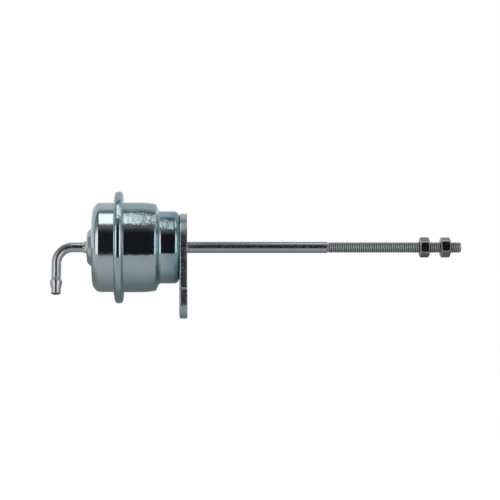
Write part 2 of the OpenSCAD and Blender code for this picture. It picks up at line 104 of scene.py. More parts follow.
def build_sky(world):
    """Bands of light by pitch, which is 0 straight in front of the part, 90 overhead and 180 straight
    behind, and by how far to either side they lie."""
    tree = world.node_tree
    tree.nodes.clear()
    direction = tree.nodes.new("ShaderNodeTexCoord").outputs["Generated"]
    split = tree.nodes.new("ShaderNodeSeparateXYZ")
    tree.links.new(direction, split.inputs[0])
    x, y, z = split.outputs
    forward = math_node(tree, "MULTIPLY", y, -1.0)
    pitch = math_node(tree, "DEGREES", math_node(tree, "ARCTAN2", z, forward))
    across = math_node(tree, "ABSOLUTE", x)
    back = shade_between(tree, ramp(tree, pitch, 104, 118), grey(0.12), grey(0.54, 0.02))
    back = shade_between(tree, ramp(tree, pitch, 150, 178), back, grey(0.75, 0.02))
    overhead = shade_between(tree, ramp(tree, across, 0.5, 0.9), grey(0.16), grey(0.26))
    upper = shade_between(tree, ramp(tree, pitch, 98, 106), overhead, back)
    side_reach = math_node(tree, "MULTIPLY", ramp(tree, across, 0.37, 0.45), ramp(tree, across, 0.96, 0.86))
    front = shade_between(tree, side_reach, (0.011, 0.010, 0.013, 1), grey(0.98))
    side_end = shade_between(tree, ramp(tree, across, 0.88, 0.97), front, grey(0.26))
    sky = shade_between(tree, ramp(tree, pitch, 37, 66), side_end, upper)
    below = shade_between(tree, ramp(tree, pitch, -50, -135), grey(0.37, 0.02), grey(0.21, 0.02))
    below = shade_between(tree, ramp(tree, x, -0.8, -0.95), below, grey(0.46))
    full = shade_between(tree, ramp(tree, pitch, -18, -22), sky, below)
    seen = tree.nodes.new("ShaderNodeLightPath").outputs["Is Camera Ray"]
    colour = shade_between(tree, seen, full, grey(1.0))
    background = tree.nodes.new("ShaderNodeBackground")
    output = tree.nodes.new("ShaderNodeOutputWorld")
    tree.links.new(colour, background.inputs["Color"])
    tree.links.new(background.outputs[0], output.inputs["Surface"])


def panel_light(name, place, size, radiance, in_reflections):
    """Flat lamp that faces down, in mm, with the radiance that its surface shows."""
    light = bpy.data.lights.new(name, "AREA")
    light.shape = "RECTANGLE"
    light.size, light.size_y = (side * mm for side in size)
    light.energy = radiance * math.pi * light.size * light.size_y
    lamp = bpy.data.objects.new(name, light)
    lamp.location = [coordinate * mm for coordinate in place]
    lamp.visible_camera = False
    lamp.visible_glossy = in_reflections
    bpy.context.collection.objects.link(lamp)


def build_floor():
    """Wide pale floor under the part, lifted to white for the camera alone."""
    floor_drop, floor_half, lift = 250 * mm, 4.0, 0.72
    material = bpy.data.materials.new("pale_floor")
    material.use_nodes = True
    tree = material.node_tree
    tree.nodes.clear()
    seen = tree.nodes.new("ShaderNodeLightPath").outputs["Is Camera Ray"]
    diffuse = tree.nodes.new("ShaderNodeBsdfDiffuse")
    diffuse.inputs["Color"].default_value = grey(0.8)
    glow = tree.nodes.new("ShaderNodeEmission")
    glow.inputs["Color"].default_value = grey(1.0)
    tree.links.new(math_node(tree, "MULTIPLY", seen, lift), glow.inputs["Strength"])
    pale = tree.nodes.new("ShaderNodeAddShader")
    tree.links.new(diffuse.outputs[0], pale.inputs[0])
    tree.links.new(glow.outputs[0], pale.inputs[1])
    output = tree.nodes.new("ShaderNodeOutputMaterial")
    tree.links.new(pale.outputs[0], output.inputs["Surface"])
    mesh = bpy.data.meshes.new("studio_floor")
    corners = [(x * floor_half, y * floor_half, -floor_drop) for x, y in ((-1, -1), (1, -1), (1, 1), (-1, 1))]
    mesh.from_pydata(corners, [], [(0, 1, 2, 3)])
    mesh.materials.append(material)
    plane = bpy.data.objects.new("studio_floor", mesh)
    plane.visible_glossy = False
    bpy.context.collection.objects.link(plane)


scene = bpy.context.scene
scene.view_settings.view_transform = "Standard"
scene.world = bpy.data.worlds.new("soft_tent")
scene.world.use_nodes = True
build_sky(scene.world)
build_floor()
panel_light("cover_panel", (-52, -40, 120), (32, 72), 1.1, True)
panel_light("shell_panel", (-27, -40, 120), (18, 72), 0.6, True)
panel_light("step_panel", (-6, -40, 120), (10, 72), 0.8, True)
panel_light("rod_panel", (150, -40, 300), (190, 150), 0.8, True)
panel_light("room_panel", (0, 0, 1200), (1400, 1400), 0.5, False)

camera_yaw = math.radians(2.375)
camera = bpy.data.objects.new("camera", bpy.data.cameras.new("camera"))
camera.data.sensor_width = 36
camera.data.lens = 135.5
camera.location = (-8 * mm, -1000 * mm, -1.4 * mm)
camera.rotation_euler = (math.radians(90), 0, -camera_yaw)
bpy.context.collection.objects.link(camera)
scene.camera = camera

# Rear cover: a cup deep-drawn from 1 mm steel sheet, with a raised centre for the hose tube
# and a flange that ends inside the rolled seam. It is zinc plated and passivated pale blue.

arc_step = 6
straight_step = 0.7


def run(path):
    """Points along a path of (x, radius, rounding), with its corners rounded, as (x, radius)."""
    spots = [Vector(point[:2]) for point in path]
    line = [spots[0]]
    for i in range(1, len(path)):
        ends = [spots[i]]
        if i < len(path) - 1 and len(path[i]) > 2 and path[i][2] > 0:
            a = (spots[i] - spots[i - 1]).normalized()
            b = (spots[i + 1] - spots[i]).normalized()
            turn = math.atan2(a.x * b.y - a.y * b.x, a.dot(b))
            start = spots[i] - a * path[i][2] * math.tan(abs(turn) / 2)
            centre = start + Vector((-a.y, a.x)) * path[i][2] * math.copysign(1, turn)
            steps = max(2, math.ceil(math.degrees(abs(turn)) / arc_step))
            arm = start - centre
            ends = [centre + Matrix.Rotation(turn * k / steps, 2) @ arm for k in range(steps + 1)]
        gap = (ends[0] - line[-1]).length
        cuts = max(1, math.ceil(gap / straight_step))
        line += [line[-1].lerp(ends[0], k / cuts) for k in range(1, cuts)]
        line += ends
    return line


def beside(path, distance):
    """The path moved sideways, with its roundings kept round the same centres."""
    moved = []
    spots = [Vector(point[:2]) for point in path]
    last = len(path) - 1
    for i, point in enumerate(path):
        a = (spots[max(i, 1)] - spots[max(i - 1, 0)]).normalized()
        b = (spots[min(i + 1, last)] - spots[min(i, last - 1)]).normalized()
        normals = Vector((-a.y, a.x)) + Vector((-b.y, b.x))
        spot = spots[i] + normals * distance / (1 + a.dot(b))
        turn = math.atan2(a.x * b.y - a.y * b.x, a.dot(b))
        rounding = point[2] if len(point) > 2 else 0
        moved.append((spot.x, spot.y, rounding - distance * math.copysign(1, turn) if rounding else 0))
    return moved


def sheet(path, thickness):
    """Closed section of a sheet whose middle follows a path."""
    return run(beside(path, thickness / 2)) + run(beside(path, -thickness / 2))[::-1]


def turned(section, steps=192, shape=None):
    """Vertices and faces of a closed section, in mm, turned about the X axis."""
    points = []
    for k in range(steps):
        angle = 2 * math.pi * k / steps
        for x, radius in section:
            if shape:
                x, radius = shape(x, radius, angle)
            points.append((x * mm, -radius * math.cos(angle) * mm, radius * math.sin(angle) * mm))
    n = len(section)
    faces = [
        (k * n + i, k * n + (i + 1) % n, (k + 1) % steps * n + (i + 1) % n, (k + 1) % steps * n + i)
        for k in range(steps)
        for i in range(n)
    ]
    return points, faces


def welded(points, faces):
    """Shape made of points and faces, with near points merged and slivers gone."""
    draft = bpy.data.meshes.new("draft")
    draft.from_pydata(points, [], faces)
    shape = bmesh.new()
    shape.from_mesh(draft)
    bpy.data.meshes.remove(draft)
    bmesh.ops.remove_doubles(shape, verts=shape.verts, dist=1e-6)
    bmesh.ops.dissolve_degenerate(shape, edges=shape.edges, dist=1e-7)
    return shape


def make_piece(name, points, faces, material, sharp=32, mark=None):
    """Closed piece with outward faces and smooth shading up to a sharp angle. The mark gives each
    point's value, from its place in mm, for a marked material."""
    shape = welded(points, faces)
    bmesh.ops.recalc_face_normals(shape, faces=shape.faces)
    mesh = bpy.data.meshes.new(name)
    shape.to_mesh(mesh)
    shape.free()
    mesh.shade_smooth()
    mesh.set_sharp_from_angle(angle=math.radians(sharp))
    mesh.materials.append(material)
    if mark:
        values = mesh.attributes.new("mark", "FLOAT", "POINT")
        values.data.foreach_set("value", [mark(*(v.co / mm)) for v in mesh.vertices])
    piece = bpy.data.objects.new(name, mesh)
    bpy.context.collection.objects.link(piece)
    return piece


def new_group(name, inputs, outputs, tree_kind="ShaderNodeTree"):
    """Empty node group with named inputs (name, type, value) and outputs (name, type)."""
    group = bpy.data.node_groups.new(name, tree_kind)
    for label, kind, value in inputs:
        socket = group.interface.new_socket(label, in_out="INPUT", socket_type=kind)
        socket.default_value = value
    for label, kind in outputs:
        group.interface.new_socket(label, in_out="OUTPUT", socket_type=kind)
    return group, group.nodes.new("NodeGroupInput").outputs, group.nodes.new("NodeGroupOutput").inputs


def noise_value(tree, place, scale, detail=3.0, roughness=0.5):
    node = tree.nodes.new("ShaderNodeTexNoise")
    link(tree, place, node.inputs["Vector"])
    link(tree, scale, node.inputs["Scale"])
    node.inputs["Detail"].default_value = detail
    node.inputs["Roughness"].default_value = roughness
    return node.outputs["Fac"]


def build_metal_skin():
    """Colour, roughness and height of a metal surface: clouds in the film, peel and fine grain."""
    cloud_size, spread_size = 130.0, 450.0
    group, given, result = new_group(
        "metal_skin",
        [("Color", "NodeSocketColor", (0.8, 0.8, 0.8, 1)),
         ("Film Color", "NodeSocketColor", (0.6, 0.7, 0.8, 1)),
         ("Film Amount", "NodeSocketFloat", 0.3), ("Roughness", "NodeSocketFloat", 0.2),
         ("Peel Size", "NodeSocketFloat", 700.0), ("Peel Depth", "NodeSocketFloat", 0.5),
         ("Grain Size", "NodeSocketFloat", 4000.0), ("Grain Depth", "NodeSocketFloat", 0.1)],
        [("Color", "NodeSocketColor"), ("Roughness", "NodeSocketFloat"), ("Height", "NodeSocketFloat")],
    )
    place = group.nodes.new("ShaderNodeTexCoord").outputs["Object"]
    cloud = ramp(group, noise_value(group, place, cloud_size, 4.0, 0.55), 0.35, 0.7)
    film = math_node(group, "MULTIPLY", cloud, given["Film Amount"])
    group.links.new(shade_between(group, film, given["Color"], given["Film Color"]), result["Color"])
    coarse = noise_value(group, place, given["Peel Size"], 2.0)
    peel = math_node(group, "MULTIPLY", coarse, given["Peel Depth"])
    fine = noise_value(group, place, given["Grain Size"], 2.0, 0.6)
    grain = math_node(group, "MULTIPLY", fine, given["Grain Depth"])
    group.links.new(math_node(group, "ADD", peel, grain), result["Height"])
    spread = ramp(group, noise_value(group, place, spread_size, 4.0, 0.6), 0.3, 0.75, 0.85, 1.25)
    group.links.new(math_node(group, "MULTIPLY", given["Roughness"], spread), result["Roughness"])
    return group


metal_skin = build_metal_skin()


def skinned(name, look, bump, distance):
    """Material with the roughness and dents of the metal skin. The look gives values for the skin's
    inputs. Returned are the material, its shader, its skin and its dents."""
    material = bpy.data.materials.new(name)
    material.use_nodes = True
    tree = material.node_tree
    shader = tree.nodes["Principled BSDF"]
    skin = tree.nodes.new("ShaderNodeGroup")
    skin.node_tree = metal_skin
    for label, value in look.items():
        skin.inputs[label].default_value = value
    dents = tree.nodes.new("ShaderNodeBump")
    dents.inputs["Strength"].default_value = bump
    dents.inputs["Distance"].default_value = distance * mm
    tree.links.new(skin.outputs["Height"], dents.inputs["Height"])
    tree.links.new(skin.outputs["Roughness"], shader.inputs["Roughness"])
    tree.links.new(dents.outputs["Normal"], shader.inputs["Normal"])
    return material, shader, skin, dents


def place_on(tree, axis):
    """Place along one of the part's axes, in metres."""
    split = tree.nodes.new("ShaderNodeSeparateXYZ")
    tree.links.new(tree.nodes.new("ShaderNodeTexCoord").outputs["Object"], split.inputs[0])
    return split.outputs[axis]


def metal(name, look, bump=0.35, distance=0.05, rim=(1, 1, 1, 1), along=None, mark=None, calm=None):
    """Bare or plated metal. The rim darkens what is seen at a slant, a painted shade along the outlines.
    Along is (x from, x to, tint) for a tint that changes on the way: painted shade on the shell's step
    near the plate, and a lighter tone on the rod's threaded end. Mark is the colour where the mesh's
    mark attribute is 1: painted shade in the thread's roots and a painted highlight on the nuts' edges.
    Calm is (height from, height to, bump at the first) for a skin that is smoother lower down."""
    material, shader, skin, dents = skinned(name, look, bump, distance)
    tree = material.node_tree
    shader.inputs["Metallic"].default_value = 1.0
    facing = tree.nodes.new("ShaderNodeLayerWeight").outputs["Facing"]
    # The rim tint is painted shade: the colour darkens where the surface is seen at a slant.
    colour = shade_between(tree, ramp(tree, facing, 0.08, 0.5), skin.outputs["Color"], rim, "MULTIPLY")
    if along:
        start, end, tint = along
        share = ramp(tree, place_on(tree, "X"), start * mm, end * mm)
        colour = shade_between(tree, share, colour, tint, "MULTIPLY")
    if mark:
        marked = tree.nodes.new("ShaderNodeAttribute")
        marked.attribute_name = "mark"
        colour = shade_between(tree, marked.outputs["Fac"], colour, mark)
    tree.links.new(colour, shader.inputs["Base Color"])
    if calm:
        low, high, least = calm
        strength = ramp(tree, place_on(tree, "Z"), low * mm, high * mm, least, bump)
        tree.links.new(strength, dents.inputs["Strength"])
    return material


sheet_t = 1.0
bead_x, bead_crest_r = -35.9, 29.7
seam_gap = 0.03


def bead_half(radius, root_half=2.95):
    """Half the thickness of the rolled bead at a radius, on the cover's side if not told otherwise."""
    tip_half, root_r = 2.1, 23.8
    return tip_half + (root_half - tip_half) * (bead_crest_r - radius) / (bead_crest_r - root_r)


def on_cover(radius):
    """Where the middle of the cover's flange lies inside the bead."""
    return bead_x + 1.5 * sheet_t + seam_gap - bead_half(radius)


cover_wall_r, cover_face_x = 23.2, -49.6
flange_r, tube_hole_r = 27.72, 2.64
cover_path = [
    (-52.8, tube_hole_r), (-52.4, 8.1, 2.2), (cover_face_x, 10.3, 1.2),
    (cover_face_x, cover_wall_r - 3.1, 4.5), (-47.4, cover_wall_r, 3.5),
    (on_cover(cover_wall_r), cover_wall_r, 1.4), (on_cover(flange_r), flange_r),
]


def draw_line(x, radius, angle):
    """A faint ring near the corner, where the drawing die left its mark."""
    mark_x, mark_w, mark_depth, side_r = -45.0, 0.35, 0.035, 20
    return x, radius - mark_depth * math.exp(-(((x - mark_x) / mark_w) ** 2)) * (radius > side_r)


drawn_zinc = metal(
    "drawn_zinc",
    {"Color": (0.76, 0.86, 0.87, 1), "Film Color": (0.64, 0.78, 0.83, 1), "Film Amount": 0.5,
     "Roughness": 0.14, "Peel Size": 420.0, "Peel Depth": 0.8, "Grain Size": 1600.0, "Grain Depth": 0.3},
    bump=0.7, rim=(0.78, 0.87, 0.88, 1),
)
cover = make_piece("rear_cover_drawn", *turned(sheet(cover_path, sheet_t), shape=draw_line), drawn_zinc)
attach(cover, "can")
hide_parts("rear_cover")

# Front shell: a stepped cup drawn from 1 mm sheet. Its flange is curled over the cover's
# flange and pressed flat, which makes the bead, and its walls show the peel of hard drawing.

shell_wall_r, step_wall_r, bush_hole_r = 23.3, 18.65, 5.04
shell_front_x, shoulder_x, taper_x = -4.5, -15.15, -20.75
shell_root, lip_r = 2.5, 25.3
shell_path = [
    (shell_front_x, bush_hole_r), (shell_front_x, step_wall_r, 2.5), (shoulder_x, step_wall_r, 2.5),
    (shoulder_x - 1.5, shell_wall_r - 0.8, 0.9), (taper_x, shell_wall_r, 29.7),
    (bead_x + bead_half(shell_wall_r, shell_root) - 0.5, shell_wall_r, 0.7),
    (bead_x + bead_half(29.2, shell_root) - 0.5, 29.2, 1.45),
    (bead_x - bead_half(29.2) + 0.5, 29.2, 1.45),
    (bead_x - bead_half(lip_r) + 0.5, lip_r),
]
# The along tint darkens the shell's step towards the mounting plate: painted shade where the plate stands
# close.
peeled_zinc = metal(
    "peeled_zinc",
    {"Color": (0.68, 0.82, 0.84, 1), "Film Color": (0.54, 0.71, 0.79, 1), "Film Amount": 0.5,
     "Roughness": 0.09, "Peel Size": 470.0, "Peel Depth": 1.0, "Grain Size": 1500.0, "Grain Depth": 0.1},
    bump=1.0, distance=0.2, rim=(0.66, 0.74, 0.77, 1), along=(-14, -5, (0.62, 0.76, 0.82, 1)),
    calm=(7, 13, 0.18),
)
shell = make_piece("front_shell_drawn", *turned(sheet(shell_path, sheet_t)), peeled_zinc)
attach(shell, "can")
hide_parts("front_shell")

# Hose tube: drawn steel tube with its bore open all along, bent once and swaged into a barb
# for the boost hose. It goes through the cover and is brazed there.

tube_r, tube_bore_r = 2.6, 1.7
leg_x, leg_len, bend_r = -69.0, 25.5, 8.5
leg_lean = math.radians(16)
leg_down = Vector((0, -math.sin(leg_lean), -math.cos(leg_lean)))
barb_section = [
    (11.0, tube_r, 0.6), (8.15, tube_r, 0.3), (7.15, 3.25, 0.25), (6.25, 3.25, 0.3),
    (3.3, tube_r, 3.4), (0.6, tube_r),
]


def tube_course():
    """Places along the tube's middle from the cover to the bend's end, each with the way it heads."""
    start_x, bend_x = -51.9, leg_x + bend_r
    straight_steps, bend_steps = 16, 36
    stops = []
    for k in range(straight_steps + 1):
        stops.append((Vector((start_x + (bend_x - start_x) * k / straight_steps, 0, 0)), Vector((-1, 0, 0))))
    middle = Vector((bend_x, 0, 0)) + leg_down * bend_r
    for k in range(1, bend_steps + 1):
        a = math.radians(90) * k / bend_steps
        place = middle - leg_down * bend_r * math.cos(a) - Vector((bend_r, 0, 0)) * math.sin(a)
        stops.append((place, Vector((-math.cos(a), 0, 0)) + leg_down * math.sin(a)))
    return stops


def skin_rings(inner):
    """Rings (centre, heading, radius) of the outer skin, or of the bore."""
    bore_step, flare_len, flare_r, lip_round = 0.25, 0.15, 1.85, 0.6
    if inner:
        bore_rows = math.ceil((leg_len - bend_r) / bore_step) - 1
        leg = [(bore_step * k, tube_bore_r) for k in range(bore_rows, 0, -1)]
        leg += [(flare_len, tube_bore_r), (0.0, flare_r)]
    else:
        leg = [(p.x, p.y) for p in run(barb_section)]
        for k in range(1, 7):
            a = math.radians(15 * k)
            leg.append((lip_round - lip_round * math.sin(a), tube_r - lip_round + lip_round * math.cos(a)))
    rings = [(place, way, tube_bore_r if inner else tube_r) for place, way in tube_course()]
    corner = Vector((leg_x, 0, 0))
    return rings + [(corner + leg_down * (leg_len - back), leg_down, r) for back, r in leg]


def ring_skin(rings, steps):
    """Points and faces of one skin through the rings. The tube lies in a plane with side as normal."""
    side = Vector((-1, 0, 0)).cross(leg_down).normalized()
    points = []
    for centre, way, radius in rings:
        up = side.cross(way).normalized()
        for k in range(steps):
            a = 2 * math.pi * k / steps
            points.append((centre + (side * math.cos(a) + up * math.sin(a)) * radius) * mm)
    faces = [
        (i * steps + k, (i + 1) * steps + k, (i + 1) * steps + (k + 1) % steps, i * steps + (k + 1) % steps)
        for i in range(len(rings) - 1)
        for k in range(steps)
    ]
    return points, faces


def joined(first, second):
    """Points and faces of two skins in one."""
    shift = len(first[0])
    return first[0] + second[0], first[1] + [tuple(shift + i for i in face) for face in second[1]]


def open_tube(steps=72):
    outer = ring_skin(skin_rings(False), steps)
    points, faces = joined(outer, ring_skin(skin_rings(True), steps))
    shift = len(outer[0])
    for a, b in ((0, shift), (shift - steps, len(points) - steps)):
        faces += [(a + k, a + (k + 1) % steps, b + (k + 1) % steps, b + k) for k in range(steps)]
    return points, faces


tube_zinc = metal(
    "tube_zinc",
    {"Color": (0.72, 0.76, 0.78, 1), "Film Color": (0.60, 0.68, 0.74, 1), "Film Amount": 0.5,
     "Roughness": 0.27, "Peel Size": 250.0, "Peel Depth": 0.3, "Grain Size": 3500.0, "Grain Depth": 0.05},
    bump=0.1,
)
tube = make_piece("hose_tube_bent", *open_tube(), tube_zinc)
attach(tube, "can")
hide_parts("hose_tube")

# Braze ring: filler metal that ran round the tube where it enters the cover. It set as a
# low lumpy collar and was plated over with the rest of the can.

braze_section = run([
    (-55.05, 2.62), (-55.05, 3.0, 0.3), (-53.8, 3.08, 0.9), (-53.25, 3.5),
    (-53.15, 3.5), (-53.15, 2.62), (-55.05, 2.62),
])[:-1]


def lumps(x, radius, angle):
    """Uneven outer skin. The side that lies on the tube stays round."""
    lump_h, outside_r, swing_r = 0.3, 2.7, 3
    spot = Vector((x * 1.1, swing_r * math.cos(angle), swing_r * math.sin(angle)))
    return x, radius + (lump_h * noise.noise(spot) if radius > outside_r else 0)


braze_metal = metal(
    "braze_metal",
    {"Color": (0.96, 0.96, 0.95, 1), "Film Color": (0.85, 0.86, 0.86, 1), "Film Amount": 0.5,
     "Roughness": 0.28, "Peel Size": 1300.0, "Peel Depth": 1.0, "Grain Size": 3000.0, "Grain Depth": 0.3},
    bump=0.6,
)
braze = make_piece("braze_ring_lumpy", *turned(braze_section, 96, lumps), braze_metal, sharp=50)
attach(braze, "can")
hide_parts("braze_ring")

# Mounting plate: punched from 4 mm strip, rolled over at the edges of the side that the die
# met first, with two bolt holes in its ears and a central hole for the rod's seal.

plate_t, lobe_r, bolt_drop, bolt_spacing = 4.0, 17.8, 28.5, 45.0
ear_r, ear_top, bolt_hole_r, seal_hole_r = 8.5, 7.0, 4.25, 7.3


def round_hole(radius, y, z, steps=64):
    angles = [2 * math.pi * k / steps for k in range(steps)]
    return [Vector((y + radius * math.cos(a), z + radius * math.sin(a))) for a in angles]


def plate_outline():
    """Outline (y, z) of the plate, from the left of the round top round the ears and back."""
    half_w, ledge, bottom = bolt_spacing / 2 + ear_r, ear_top - bolt_drop, -bolt_drop - ear_r
    right = run([
        (lobe_r, 0), (lobe_r, ledge, 1.2), (half_w, ledge, 0.6), (half_w, bottom, ear_r), (0, bottom),
    ])
    lobe = round_hole(lobe_r, 0, 0, 120)[1:60]
    left = [Vector((-p.x, p.y)) for p in right[:-1]]
    return right[::-1] + lobe + left


def inset(loop, distance):
    """Closed loop moved to the left of its heading."""
    n = len(loop)
    moved = []
    for i in range(n):
        a = (loop[i] - loop[i - 1]).normalized()
        b = (loop[(i + 1) % n] - loop[i]).normalized()
        moved.append(loop[i] + (Vector((-a.y, a.x)) + Vector((-b.y, b.x))) * distance / (1 + a.dot(b)))
    return moved


def points_and_faces(shape):
    """Plain lists of a shape, which is then gone."""
    shape.verts.index_update()
    points = [v.co.copy() for v in shape.verts]
    faces = [tuple(v.index for v in face.verts) for face in shape.faces]
    shape.free()
    return points, faces


def punched_plate():
    """Plate with its edges rolled over behind, and a small break in front."""
    edge = [(-plate_t, 0.5), (-plate_t + 0.06, 0.28), (-plate_t + 0.2, 0.1), (-plate_t + 0.45, 0.02),
            (-plate_t + 0.8, 0.0), (-2.4, 0.0), (-1.2, 0.02), (-0.25, 0.03), (-0.07, 0.08), (0.0, 0.2)]
    shape = bmesh.new()
    ends = {0: [], len(edge) - 1: []}
    loops = [(plate_outline(), 1), (round_hole(seal_hole_r, 0, 0), -1)]
    loops += [(round_hole(bolt_hole_r, s * bolt_spacing / 2, -bolt_drop), -1) for s in (-1, 1)]
    for loop, way in loops:
        area = sum(a.x * b.y - a.y * b.x for a, b in zip(loop, loop[1:] + loop[:1]))
        inward = way * math.copysign(1, area)
        rows = []
        for x, depth in edge:
            rows.append([shape.verts.new((x * mm, p.x * mm, p.y * mm)) for p in inset(loop, depth * inward)])
        for low, high in zip(rows, rows[1:]):
            for k in range(len(loop)):
                j = (k + 1) % len(loop)
                shape.faces.new((low[k], low[j], high[j], high[k]))
        for end, rim in ends.items():
            row = rows[end]
            rim += [shape.edges.get(pair) for pair in zip(row, row[1:] + row[:1])]
    for rim in ends.values():
        bmesh.ops.triangle_fill(shape, edges=rim, use_beauty=True)
    return points_and_faces(shape)


punched_zinc = metal(
    "punched_zinc",
    {"Color": (0.63, 0.72, 0.73, 1), "Film Color": (0.50, 0.60, 0.64, 1), "Film Amount": 0.5,
     "Roughness": 0.26, "Peel Size": 900.0, "Peel Depth": 1.0, "Grain Size": 2500.0, "Grain Depth": 0.5},
    bump=1.0, distance=0.08,
)
plate = make_piece("mounting_plate_punched", *punched_plate(), punched_zinc)
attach(plate, "can")
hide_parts("mounting_plate")

# Rod: ground steel shank with a rolled M6 thread of 1 mm pitch, an undercut between them and
# a rounded end. Inside the can its spigot passes the piston and is riveted over.

pitch = 1.0
rod_r, thread_r, thread_depth = 3.0, 2.95, 0.52
shank_end, rod_end, end_round = 74.9, 146.3, 1.4
half_form = [
    (0.045, -0.02), (0.1, -0.09), (0.16, -0.19), (0.215, -0.3), (0.3, -0.6), (0.41, -0.92), (0.46, -0.985),
]
thread_form = half_form + [(0.5, -1.0)] + [(1 - share, sink) for share, sink in half_form[::-1]]
thread_form += [(1.0, 0.0)]


def thread_skin(x_from, x_to, crest_r, depth, steps, limit):
    """Rows of points (x, radius, angle) that follow the thread's helix between two ends. The limit is
    the widest radius at x, or the narrowest where the depth is under 0, as in a bore."""
    within = min if depth > 0 else max
    rows = []
    for turn in range(-1, math.ceil((x_to - x_from) / pitch) + 1):
        for share, sink in thread_form:
            row = []
            for k in range(steps + 1):
                x = x_from + pitch * (turn + share + k / steps)
                held = min(max(x, x_from), x_to)
                radius = limit(held)
                if x == held:
                    radius = within(crest_r + depth * sink, radius)
                row.append((held, radius, 2 * math.pi * k / steps))
            rows.append(row)
    return rows


def rows_to_mesh(rows):
    """Points and faces of rows of (x, radius, angle) in mm, neighbours joined."""
    points = [(x * mm, -r * math.cos(a) * mm, r * math.sin(a) * mm) for row in rows for x, r, a in row]
    width = len(rows[0])
    faces = [
        (i * width + k, i * width + k + 1, (i + 1) * width + k + 1, (i + 1) * width + k)
        for i in range(len(rows) - 1)
        for k in range(width - 1)
    ]
    return points, faces


def round_rows(section, steps):
    """Rows of (x, radius, angle) from a section of (x, radius)."""
    return [[(x, r, 2 * math.pi * k / steps) for k in range(steps + 1)] for x, r in section]


def threaded_rod(steps=72):
    """The rod from its riveted spigot over the shank and the undercut to the thread's rounded end."""
    rivet_back_x, rivet_front_x, step_x = -50.1, -48.8, -44.1
    rivet_r, spigot_r, undercut_r = 3.75, 2.25, thread_r - thread_depth + 0.05
    dome_len, dome_steps = 0.3, 6
    thread_from, dome_from = shank_end + 0.35, rod_end - dome_len
    back = run([
        (rivet_back_x, 0), (rivet_back_x, rivet_r, 1.15), (rivet_front_x, rivet_r), (rivet_front_x, spigot_r),
        (step_x, spigot_r), (step_x, rod_r, 0.15), (shank_end - 0.55, rod_r, 0.2),
        (shank_end, undercut_r, 0.2), (thread_from, undercut_r),
    ])

    def limit(x):
        """The thread rises out of the undercut, and sinks into the rounded end."""
        rise = undercut_r + max(0, x - thread_from) * 0.75
        into = max(0, x - (rod_end - end_round))
        return min(thread_r, rise, thread_r - end_round + math.sqrt(max(0, end_round**2 - into**2)))

    dome_angle = math.asin((end_round - dome_len) / end_round)
    tip = []
    for k in range(1, dome_steps + 1):
        a = dome_angle + (math.pi / 2 - dome_angle) * k / dome_steps
        along, out = end_round * math.sin(a), end_round * math.cos(a)
        tip.append((rod_end - end_round + along, thread_r - end_round + out))
    rows = round_rows([(p.x, p.y) for p in back], steps)
    rows += thread_skin(thread_from, dome_from, thread_r, thread_depth, steps, limit)
    rows += round_rows(tip + [(rod_end, 0.8), (rod_end, 0)], steps)
    return rows_to_mesh(rows)


# The mark colour is painted shade in the thread's roots. The along tint gives the threaded end a lighter
# tone.
rod_steel = metal(
    "rod_steel",
    {"Color": (0.66, 0.71, 0.74, 1), "Film Color": (0.60, 0.65, 0.68, 1), "Film Amount": 0.3,
     "Roughness": 0.25, "Peel Size": 300.0, "Peel Depth": 0.15, "Grain Size": 5000.0, "Grain Depth": 0.1},
    bump=0.1, rim=(0.75, 0.78, 0.8, 1), along=(74.6, 75.4, (1.2, 1.22, 1.16, 1)), mark=(0.24, 0.26, 0.26, 1),
)


def painted_root_shade(x, y, z):
    """1 at the bottom of the thread, where the mark's dark colour is painted shade."""
    depth = thread_r - math.hypot(y, z)
    return min(1, max(0, (depth - 0.12) / 0.3)) if shank_end + 0.5 < x < rod_end - 0.9 else 0


rod = make_piece("rod_threaded", *threaded_rod(), rod_steel, mark=painted_root_shade)
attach(rod, "push_rod")
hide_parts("rod")

# Nuts: two plain M6 hexagon nuts, hot forged with chamfered ends and left with a dark oil
# finish. The lever goes between them, and each turns on the thread.

nut_t, nut_flat_r, corner_cut = 5.2, 4.9, 0.22
face_r, edge_round = 0.93 * nut_flat_r, 0.38
chamfer_slope = math.tan(math.radians(30))


def hex_outline():
    """Points round a hexagon with rounded corners, as (radius, angle), flats facing -Y and +Y."""
    slant = math.cos(math.pi / 6)
    rounding = corner_cut / (1 / slant - 1)
    centre_r = nut_flat_r / slant - rounding / slant

    def corner_point(corner, bend):
        """Point on the rounding of a corner, at an angle to the corner's own."""
        centre = Vector((math.cos(corner), math.sin(corner))) * centre_r
        return centre + Vector((math.cos(corner + bend), math.sin(corner + bend))) * rounding

    outline = []
    for side in range(6):
        corner = math.radians(30 + 60 * side)
        arc = [corner_point(corner, math.radians(-30 + 10 * k)) for k in range(7)]
        end = corner_point(corner + math.radians(60), math.radians(-30))
        outline += arc + [arc[-1].lerp(end, k / 10) for k in range(1, 10)]
    return [(p.length, math.atan2(p.y, p.x)) for p in outline]


